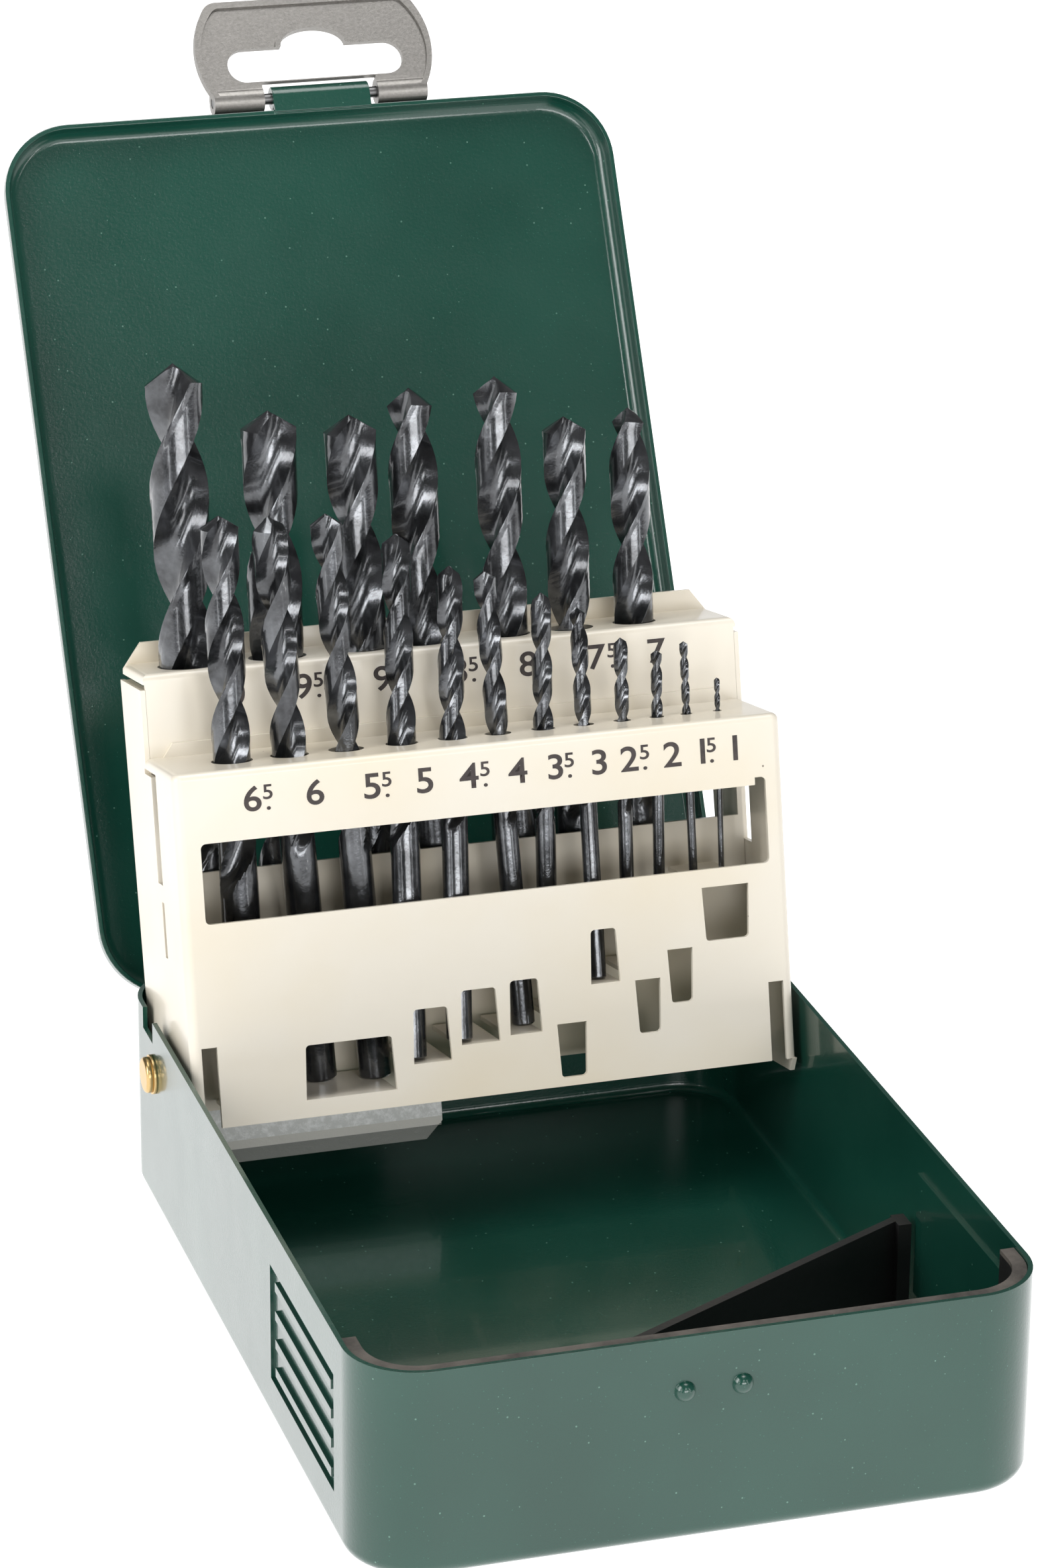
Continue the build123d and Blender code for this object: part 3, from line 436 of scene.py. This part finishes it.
def settle(piece):
    """Gives the piece the mesh that its modifiers make, and takes them off."""
    mesh = evaluated_mesh(piece)
    piece.modifiers.clear()
    piece.data = mesh


def dress(piece, finishes):
    """Puts the named finishes on the piece, in the order of their material numbers."""
    piece.data.materials.clear()
    for finish in finishes:
        piece.data.materials.append(finish_of(finish))


def split_mesh(mesh, place, normal):
    """Cuts every face of the mesh along a plane, and keeps both sides."""
    bm = bmesh.new()
    bm.from_mesh(mesh)
    bmesh.ops.bisect_plane(bm, geom=bm.verts[:] + bm.edges[:] + bm.faces[:], plane_co=place, plane_no=normal)
    bm.to_mesh(mesh)
    bm.free()


def smooth_between(mesh, crease):
    """Shades the mesh smoothly between its creases."""
    mesh.set_sharp_from_angle(angle=crease)
    for polygon in mesh.polygons:
        polygon.use_smooth = True


def even_normals(piece):
    """Shades the piece smoothly, its corner normals led by the largest faces so that flats stay flat."""
    smooth_between(piece.data, SHEET_CREASE)
    weighted = piece.modifiers.new("flat_faces", "WEIGHTED_NORMAL")
    weighted.keep_sharp = True
    settle(piece)


def soften(node, name, finishes, radius):
    """Stands a CAD node's own shape in for it with its sharp edges rounded."""
    piece = merged_copy(node, name)
    bevel = piece.modifiers.new("rounding", "BEVEL")
    bevel.width = radius
    bevel.segments = 2
    bevel.limit_method = "ANGLE"
    bevel.angle_limit = EDGE_ANGLE
    bevel.use_clamp_overlap = True
    settle(piece)
    even_normals(piece)
    dress(piece, finishes)
    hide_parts(node)
    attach(piece, frame["nodes"][node]["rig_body"])
    return piece


# ---- Drill bits --------------------------------------------------------------------------------------
BIT_INPUTS = (
    ("Diameter", "NodeSocketFloat"), ("Length", "NodeSocketFloat"), ("Fluted Length", "NodeSocketFloat"),
    ("Lead", "NodeSocketFloat"), ("Core", "NodeSocketFloat"), ("Flute Radius", "NodeSocketFloat"),
    ("Point Rise", "NodeSocketFloat"), ("Relief", "NodeSocketFloat"), ("Columns", "NodeSocketInt"),
    ("Rows", "NodeSocketInt"), ("Finish", "NodeSocketMaterial"),
)
CAP_ROWS = 5


def bit_tree():
    """A twist drill bit as a grid wrapped round its axis: shank chamfer, shank, twisted flutes and point."""
    tree = bpy.data.node_groups.new("twist_drill_bit", "GeometryNodeTree")
    tree.interface.new_socket("Bit", in_out="OUTPUT", socket_type="NodeSocketGeometry")
    for name, kind in BIT_INPUTS:
        tree.interface.new_socket(name, in_out="INPUT", socket_type=kind)
    g = Graph(tree)
    m = g.math
    given = tree.nodes.new("NodeGroupInput").outputs
    radius = m("MULTIPLY", given["Diameter"], 0.5)
    grid = g.add("GeometryNodeMeshGrid", Size_X=1.0, Size_Y=1.0, Vertices_X=given["Columns"],
                 Vertices_Y=given["Rows"])
    position = tree.nodes.new("GeometryNodeInputPosition").outputs[0]
    xyz = g.add("ShaderNodeSeparateXYZ", Vector=position).outputs
    theta = m("MULTIPLY", m("ADD", xyz[0], 0.5), 2 * math.pi)
    last = m("SUBTRACT", given["Rows"], 1.0)
    row = m("ROUND", m("MULTIPLY", m("ADD", xyz[1], 0.5), last))
    side_rows = m("SUBTRACT", last, 2.0 + CAP_ROWS)
    along = m("DIVIDE", m("SUBTRACT", row, 2.0), side_rows, clamp=True)
    cap = m("DIVIDE", m("SUBTRACT", row, m("SUBTRACT", last, float(CAP_ROWS))), float(CAP_ROWS), clamp=True)

    # the flute's cut at full depth, which sets where the point begins at each angle
    full_reach = m("MULTIPLY_ADD", given["Core"], 0.5, given["Flute Radius"])
    sine, cosine = m("ABSOLUTE", m("SINE", theta)), m("ABSOLUTE", m("COSINE", theta))

    def cut(reach):
        """Radius of the bit's section at this angle, with the flute's centre at that reach."""
        offset = m("MULTIPLY", reach, sine)
        inside = m("SUBTRACT", m("POWER", given["Flute Radius"], 2.0), m("POWER", offset, 2.0))
        near = m("SUBTRACT", m("MULTIPLY", reach, cosine), m("SQRT", m("MAXIMUM", inside, 0.0)))
        in_flute = m("GREATER_THAN", inside, 0.0)
        chosen = m("ADD", m("MULTIPLY", near, in_flute), m("MULTIPLY", radius, m("SUBTRACT", 1.0, in_flute)))
        return m("MINIMUM", radius, chosen)

    edge_cosine = m("DIVIDE", m("SUBTRACT", m("ADD", m("POWER", radius, 2.0), m("POWER", full_reach, 2.0)),
                                m("POWER", given["Flute Radius"], 2.0)),
                    m("MULTIPLY", m("MULTIPLY", radius, full_reach), 2.0))
    edge = m("ARCCOSINE", edge_cosine)
    half_turn = m("MODULO", theta, math.pi)
    land_span = m("SUBTRACT", math.pi, m("MULTIPLY", edge, 2.0))
    behind = m("DIVIDE", m("SUBTRACT", half_turn, edge), land_span, clamp=True)
    land = m("MULTIPLY", m("GREATER_THAN", behind, 0.2), m("LESS_THAN", behind, 1.0))
    full = cut(full_reach)
    shed = m("MULTIPLY", behind, 0.16)
    rise = m("ADD", given["Point Rise"], shed)
    end = m("SUBTRACT", given["Length"], m("MULTIPLY", full, rise))
    chamfer = m("MULTIPLY", given["Diameter"], 0.06)
    height = m("MULTIPLY_ADD", along, m("SUBTRACT", end, chamfer), chamfer)
    foot = m("SUBTRACT", m("SUBTRACT", row, 1.0, clamp=True), 1.0)
    height = m("ADD", height, m("MULTIPLY", foot, chamfer))

    start = m("SUBTRACT", given["Length"], given["Fluted Length"])
    run = m("SUBTRACT", height, start)
    fade = m("DIVIDE", run, m("MULTIPLY", given["Diameter"], 1.3), clamp=True)
    missing = m("POWER", m("SUBTRACT", 1.0, fade), 2.0)
    depth = m("SUBTRACT", radius, m("MULTIPLY", given["Core"], 0.5))
    reach = m("MULTIPLY_ADD", missing, depth, full_reach)
    ground = m("MULTIPLY", m("MULTIPLY", land, fade), m("MULTIPLY", given["Relief"], radius))
    skin = m("MINIMUM", cut(reach), m("SUBTRACT", radius, ground))
    chamfered = m("SUBTRACT", 1.0, m("MULTIPLY", m("SUBTRACT", 2.0, row, clamp=True), 0.12))
    shrink = m("MULTIPLY", m("MINIMUM", row, 1.0), chamfered)
    spoke = m("MULTIPLY", m("MULTIPLY", skin, m("SUBTRACT", 1.0, cap)), shrink)
    height = m("ADD", height, m("MULTIPLY", m("MULTIPLY", full, rise), cap))
    twist = m("MULTIPLY", m("DIVIDE", m("MAXIMUM", run, 0.0), given["Lead"]), 2 * math.pi)
    turn = m("ADD", theta, twist)
    place = g.add("ShaderNodeCombineXYZ", X=m("MULTIPLY", spoke, m("COSINE", turn)),
                  Y=m("MULTIPLY", spoke, m("SINE", turn)), Z=height).outputs[0]
    moved = g.add("GeometryNodeSetPosition", Geometry=grid.outputs["Mesh"], Position=place).outputs[0]
    closed = g.add("GeometryNodeMergeByDistance", Geometry=moved, Distance=2e-6).outputs[0]
    real = g.add("GeometryNodeRealizeInstances", Geometry=closed).outputs[0]
    painted = g.add("GeometryNodeSetMaterial", Geometry=real, Material=given["Finish"]).outputs[0]
    tree.links.new(painted, tree.nodes.new("NodeGroupOutput").inputs[0])
    return tree


def grown(tree, name, values):
    """Runs a geometry tree with these named inputs and gives its result as a plain mesh object."""
    piece = bpy.data.objects.new(name, bpy.data.meshes.new(name))
    bpy.context.scene.collection.objects.link(piece)
    modifier = piece.modifiers.new("form", "NODES")
    modifier.node_group = tree
    for item in tree.interface.items_tree:
        if item.in_out == "INPUT" and item.name in values:
            modifier[item.identifier] = values[item.name]
    settle(piece)
    piece.data.name = name
    return piece


def standing(size, foot, hole):
    """Where a bit stands: on the edge of its foot, and leaning through the middle of its hole."""
    across, back, up = [b - a for a, b in zip(foot, hole)]
    lean_back = math.atan2(back, up)
    lean_side = math.atan2(across, math.hypot(back, up))
    lift = size / 2 * math.hypot(across, back) / math.dist(foot, hole)
    at = Matrix.Translation(Vector((foot[0], foot[1], foot[2] + lift)) * MM)
    return at @ Matrix.Rotation(-lean_back, 4, "X") @ Matrix.Rotation(lean_side, 4, "Y")


def size_name(size):
    return f"{size:04.1f}".replace(".", "_")


# ---- Operators ---------------------------------------------------------------------------------------
class DRILLCASE_OT_shells(bpy.types.Operator):
    """Paint the tray and lid and round their sheet edges"""
    bl_idname = "drill_case.shells"
    bl_label = "Tray and lid"

    def execute(self, context):
        edge = context.scene.drill_case_paint.edge
        soften("base_tray", "green_tray", ["green"], edge)
        soften("lid_shell", "green_lid", ["green"], edge)
        return {"FINISHED"}


class DRILLCASE_OT_liner(bpy.types.Operator):
    """Add the moulded front liner with its slanted fence"""
    bl_idname = "drill_case.liner"
    bl_label = "Front liner"

    def execute(self, context):
        soften("front_liner", "black_liner", ["liner"], LINER_EDGE)
        return {"FINISHED"}


class DRILLCASE_OT_rack(bpy.types.Operator):
    """Paint the stepped rack and round its folds and window edges"""
    bl_idname = "drill_case.rack"
    bl_label = "Rack"

    def execute(self, context):
        edge = context.scene.drill_case_paint.edge
        soften("front_rack", "cream_front_rack", ["cream"], edge)
        rear = soften("rear_rack", "cream_rear_rack", ["cream", "pocket"], edge)
        to_rack = RACK.inverted()
        split_mesh(rear.data, RACK @ Vector((0, 0, POCKET_TOP)), RACK.to_3x3() @ Vector((0, 0, 1)))
        even_normals(rear)
        for polygon in rear.data.polygons:
            if (to_rack @ polygon.center).z < POCKET_TOP:
                polygon.material_index = 1
        return {"FINISHED"}


class DRILLCASE_OT_bits(bpy.types.Operator):
    """Grow the nineteen twist drill bits in their holes"""
    bl_idname = "drill_case.bits"
    bl_label = "Drill bits"

    def execute(self, context):
        form = context.scene.drill_case_bits
        tree = bit_tree()
        row_of = [(bit, FRONT_ROW_V, FRONT_SHELF) for bit in FRONT_BITS]
        row_of += [(bit, REAR_ROW_V, REAR_SHELF) for bit in REAR_BITS]
        for (size, foot, hole_x, length, fluted, turn), row, shelf in row_of:
            diameter = size * MM
            lead = math.pi * diameter / math.tan(form.helix)
            rows = int(min(170, max(60, fluted / size * 9)))
            bit = grown(tree, "drill_bit_" + size_name(size), {
                "Diameter": diameter, "Length": length * MM, "Fluted Length": fluted * MM, "Lead": lead,
                "Core": form.web * diameter, "Flute Radius": form.flute * diameter,
                "Point Rise": 1 / math.tan(form.point / 2), "Relief": form.relief,
                "Columns": form.columns + 1, "Rows": rows, "Finish": finish_of("oxide"),
            })
            place = RACK @ standing(size, foot, (hole_x, row, shelf))
            bit.data.transform(place @ Matrix.Rotation(math.radians(turn), 4, "Z"))
            smooth_between(bit.data, BIT_CREASE)
            node = "bit_" + size_name(size)
            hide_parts(node)
            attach(bit, frame["nodes"][node]["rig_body"])
        return {"FINISHED"}


def printed(text, height, corner, v):
    """A thin mesh of one printed character, its lower left corner at (x, w) on the face at v."""
    curve = bpy.data.curves.new("glyph", "FONT")
    curve.body = text
    curve.size = 1.0
    curve.offset = GLYPH_WEIGHT
    curve.resolution_u = 6
    glyph = bpy.data.objects.new("glyph", curve)
    bpy.context.scene.collection.objects.link(glyph)
    mesh = evaluated_mesh(glyph)
    bpy.data.objects.remove(glyph)
    low = Vector((min(p.co.x for p in mesh.vertices), min(p.co.y for p in mesh.vertices), 0))
    high = max(p.co.y for p in mesh.vertices)
    scale = height / (high - low.y)
    mesh.transform(Matrix.Diagonal((scale * GLYPH_STRETCH, scale, scale, 1)) @ Matrix.Translation(-low))
    width = max(p.co.x for p in mesh.vertices)
    x, w = corner
    upright = Matrix.Translation((x, v, w)) @ Matrix.Rotation(math.radians(90), 4, "X")
    mesh.transform(upright)
    return mesh, width


def mark_parts(size, form, low, face):
    """One size's characters, with a small raised five and a dot for a half, and their whole width."""
    parts = []
    x = 0.0
    for digit in str(int(size)):
        mesh, width = printed(digit, form.height, (x, low), face)
        parts.append(mesh)
        x += width + DIGIT_GAP
    if size % 1 > 0:
        raised, width = printed("5", form.raised, (x - HALF_TUCK, low + form.height - form.raised), face)
        dot, _ = printed(".", DOT_HEIGHT, (x + DOT_SHIFT, low), face)
        parts += [raised, dot]
        x += width + HALF_ADVANCE
    return parts, x


class DRILLCASE_OT_marks(bpy.types.Operator):
    """Print each hole's size on the rack's two steps"""
    bl_idname = "drill_case.marks"
    bl_label = "Size marks"

    def execute(self, context):
        form = context.scene.drill_case_marks
        for size, middle, (v, w) in MARKS:
            bm = bmesh.new()
            parts, across = mark_parts(size, form, w * MM, (v - INK_STANDS_OUT) * MM)
            for mesh in parts:
                mesh.transform(Matrix.Translation((middle * MM - across / 2 + MARK_SHIFT, 0, 0)))
                bm.from_mesh(mesh)
                bpy.data.meshes.remove(mesh)
            bmesh.ops.triangulate(bm, faces=bm.faces)
            made = bpy.data.meshes.new("mark_" + size_name(size))
            bm.to_mesh(made)
            bm.free()
            made.transform(RACK)
            piece = bpy.data.objects.new(made.name, made)
            bpy.context.scene.collection.objects.link(piece)
            dress(piece, ["ink"])
            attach(piece, "rack")
        return {"FINISHED"}


class DRILLCASE_OT_hanger(bpy.types.Operator):
    """Finish the hanger that folds down as the latch, and its pin"""
    bl_idname = "drill_case.hanger"
    bl_label = "Hanger latch"

    def execute(self, context):
        soften("hanger_latch", "grey_hanger", ["hanger"], HANGER_EDGE)
        dress(frame["nodes"]["hanger_pin"], ["steel"])
        return {"FINISHED"}


class DRILLCASE_OT_fixings(bpy.types.Operator):
    """Finish the rivets, washers, spacers and the hinge pin"""
    bl_idname = "drill_case.fixings"
    bl_label = "Rivets and pins"

    def execute(self, context):
        for side in ("left", "right"):
            soften("rivet_" + side, "brass_rivet_" + side, ["brass"], RIVET_EDGE)
            soften("washer_" + side, "brass_washer_" + side, ["brass"], WASHER_EDGE)
            dress(frame["nodes"]["spacer_" + side], ["steel"])
        dress(frame["nodes"]["hinge_pin"], ["steel"])
        return {"FINISHED"}


def soft_box(name, place, size, power):
    """A white rectangular light that faces the case."""
    light = bpy.data.lights.new(name, "AREA")
    light.shape = "RECTANGLE"
    light.size, light.size_y = size
    light.energy = power
    lamp = bpy.data.objects.new(name, light)
    lamp.location = place
    lamp.rotation_mode = "QUATERNION"
    lamp.rotation_quaternion = (Vector(LIGHT_AIM) - Vector(place)).to_track_quat("-Z", "Y")
    bpy.context.scene.collection.objects.link(lamp)


class DRILLCASE_OT_stage(bpy.types.Operator):
    """Lay the pale floor, hang the soft lights and set the camera"""
    bl_idname = "drill_case.stage"
    bl_label = "Stage"

    def execute(self, context):
        scene = context.scene
        view = scene.drill_case_stage
        mesh = bpy.data.meshes.new("studio_floor")
        half = FLOOR_HALF
        corners = [(-half, -half, 0), (half, -half, 0), (half, half, 0), (-half, half, 0)]
        mesh.from_pydata(corners, [], [(0, 1, 2, 3)])
        floor = bpy.data.objects.new("studio_floor", mesh)
        scene.collection.objects.link(floor)
        material, _, surface, _ = new_finish("studio_white")
        surface.inputs["Base Color"].default_value = (0.05, 0.05, 0.05, 1)
        surface.inputs["Roughness"].default_value = 0.9
        surface.inputs["Emission Color"].default_value = (1, 1, 1, 1)
        surface.inputs["Emission Strength"].default_value = FLOOR_GLOW
        mesh.materials.append(material)
        world = bpy.data.worlds.new("studio_world")
        world.use_nodes = True
        world.node_tree.nodes["Background"].inputs[0].default_value = (1, 1, 1, 1)
        world.node_tree.nodes["Background"].inputs[1].default_value = ROOM_GLOW
        scene.world = world
        for name, place, size, power in LIGHTS:
            soft_box(name, place, size, power)
        direction = Vector((math.sin(view.azimuth) * math.cos(view.elevation),
                            math.cos(view.azimuth) * math.cos(view.elevation), -math.sin(view.elevation)))
        right = direction.cross(Vector((0, 0, 1))).normalized()
        up = right.cross(direction)
        c, s = math.cos(view.roll), math.sin(view.roll)
        across, upward = right * c + up * s, up * c - right * s
        camera = bpy.data.objects.new("photo_camera", bpy.data.cameras.new("photo_camera"))
        turn = Matrix((across, upward, -direction)).transposed()
        camera.matrix_world = Matrix.Translation(view.place) @ turn.to_4x4()
        camera.data.lens = view.lens
        camera.data.sensor_width = SENSOR_WIDTH
        camera.data.clip_start, camera.data.clip_end = 0.01, 20
        scene.collection.objects.link(camera)
        scene.camera = camera
        scene.view_settings.view_transform = "Standard"
        return {"FINISHED"}


OPERATORS = (
    DRILLCASE_OT_shells, DRILLCASE_OT_liner, DRILLCASE_OT_rack, DRILLCASE_OT_bits, DRILLCASE_OT_marks,
    DRILLCASE_OT_hanger, DRILLCASE_OT_fixings, DRILLCASE_OT_stage,
)


class DRILLCASE_PT_sidebar(bpy.types.Panel):
    """Lists the case's sizes, colours and pieces"""
    bl_idname = "DRILLCASE_PT_sidebar"
    bl_label = "Drill bit case"
    bl_space_type = "VIEW_3D"
    bl_region_type = "UI"
    bl_category = "Drill Case"

    def draw(self, context):
        layout = self.layout
        for key, group in GROUPS.items():
            box = layout.box()
            for name in group.__annotations__:
                box.prop(getattr(context.scene, key), name)
        for operator in OPERATORS:
            layout.operator(operator.bl_idname)


def register():
    for key, group in GROUPS.items():
        bpy.utils.register_class(group)
        setattr(bpy.types.Scene, key, bpy.props.PointerProperty(type=group))
    for operator in OPERATORS:
        bpy.utils.register_class(operator)
    bpy.utils.register_class(DRILLCASE_PT_sidebar)


def unregister():
    bpy.utils.unregister_class(DRILLCASE_PT_sidebar)
    for operator in reversed(OPERATORS):
        bpy.utils.unregister_class(operator)
    for key, group in GROUPS.items():
        delattr(bpy.types.Scene, key)
        bpy.utils.unregister_class(group)


def main():
    register()
    for operator in OPERATORS:
        section, name = operator.bl_idname.split(".")
        getattr(getattr(bpy.ops, section), name)()


if __name__ == "__main__":
    main()
